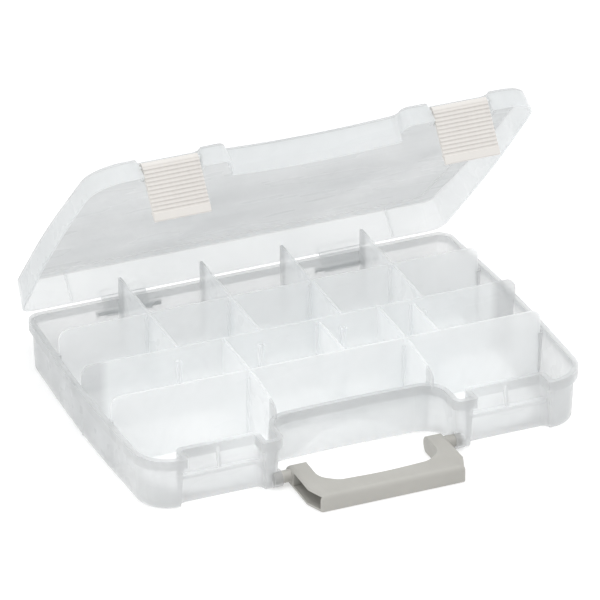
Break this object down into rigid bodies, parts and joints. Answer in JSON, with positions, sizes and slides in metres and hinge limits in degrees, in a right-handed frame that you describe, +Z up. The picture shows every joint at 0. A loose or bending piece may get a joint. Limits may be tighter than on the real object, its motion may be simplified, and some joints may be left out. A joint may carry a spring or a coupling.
{
  "type": "fishing tackle box",
  "caption": "Flat satchel tackle box with a hinged wedge lid, snap latches, lift-out dividers and a swinging carry handle.",
  "frame": {"origin": "middle of the tray's underside", "axes": "+Z up, +X along the front edge towards the user's right, -Y towards the user and the handle"},
  "size_m": [0.3798, 0.3369, 0.2478],
  "materials": {
    "tray": "translucent milky polypropylene, satin",
    "lid": "translucent milky polypropylene, satin",
    "divider": "translucent milky polypropylene, satin",
    "latch": "off-white moulded plastic",
    "handle": "warm grey moulded plastic",
    "pin": "moulded plastic rod"
  },
  "bodies": {
    "base": {"base_tray": "tray", "hinge_pin_left": "pin", "hinge_pin_right": "pin"},
    "lid": {"lid_shell": "lid", "latch_pin_left": "pin", "latch_pin_right": "pin"},
    "handle": {"handle": "handle", "handle_pin_left": "handle", "handle_pin_right": "handle"},
    "latch_left": {"latch_left": "latch"},
    "latch_right": {"latch_right": "latch"},
    "rear_divider_1": {"rear_divider_1": "divider"},
    "rear_divider_2": {"rear_divider_2": "divider"},
    "rear_divider_3": {"rear_divider_3": "divider"},
    "rear_divider_4": {"rear_divider_4": "divider"},
    "rear_divider_5": {"rear_divider_5": "divider"},
    "front_divider_left": {"front_divider_left": "divider"},
    "front_divider_middle": {"front_divider_middle": "divider"},
    "front_divider_right": {"front_divider_right": "divider"},
    "short_divider_middle": {"short_divider_middle": "divider"},
    "short_divider_right": {"short_divider_right": "divider"}
  },
  "joints": [
    {"name": "lid_hinge", "type": "hinge", "parent": "base", "child": "lid", "pos_m": [0, 0.1332, 0.031], "axis": [-1, 0, 0], "range_deg": [-48.3, 60]},
    {"name": "handle_swing", "type": "hinge", "parent": "base", "child": "handle", "pos_m": [0, -0.126, 0.0074], "axis": [-1, 0, 0], "range_deg": [0, 88]},
    {"name": "latch_left_pivot", "type": "hinge", "parent": "lid", "child": "latch_left", "pos_m": [0, -0.02261, 0.24121], "axis": [-1, 0, 0], "range_deg": [0, 95]},
    {"name": "latch_right_pivot", "type": "hinge", "parent": "lid", "child": "latch_right", "pos_m": [0, -0.02261, 0.24121], "axis": [-1, 0, 0], "range_deg": [0, 95]},
    {"name": "rear_divider_1_lift", "type": "slide", "parent": "base", "child": "rear_divider_1", "axis": [0, 0, 1], "range_m": [0, 0.062]},
    {"name": "rear_divider_2_lift", "type": "slide", "parent": "base", "child": "rear_divider_2", "axis": [0, 0, 1], "range_m": [0, 0.062]},
    {"name": "rear_divider_3_lift", "type": "slide", "parent": "base", "child": "rear_divider_3", "axis": [0, 0, 1], "range_m": [0, 0.062]},
    {"name": "rear_divider_4_lift", "type": "slide", "parent": "base", "child": "rear_divider_4", "axis": [0, 0, 1], "range_m": [0, 0.062]},
    {"name": "rear_divider_5_lift", "type": "slide", "parent": "base", "child": "rear_divider_5", "axis": [0, 0, 1], "range_m": [0, 0.062]},
    {"name": "front_divider_left_lift", "type": "slide", "parent": "base", "child": "front_divider_left", "axis": [0, 0, 1], "range_m": [0, 0.062]},
    {"name": "front_divider_middle_lift", "type": "slide", "parent": "base", "child": "front_divider_middle", "axis": [0, 0, 1], "range_m": [0, 0.062]},
    {"name": "front_divider_right_lift", "type": "slide", "parent": "base", "child": "front_divider_right", "axis": [0, 0, 1], "range_m": [0, 0.062]},
    {"name": "short_divider_middle_lift", "type": "slide", "parent": "base", "child": "short_divider_middle", "axis": [0, 0, 1], "range_m": [0, 0.062]},
    {"name": "short_divider_right_lift", "type": "slide", "parent": "base", "child": "short_divider_right", "axis": [0, 0, 1], "range_m": [0, 0.062]}
  ]
}
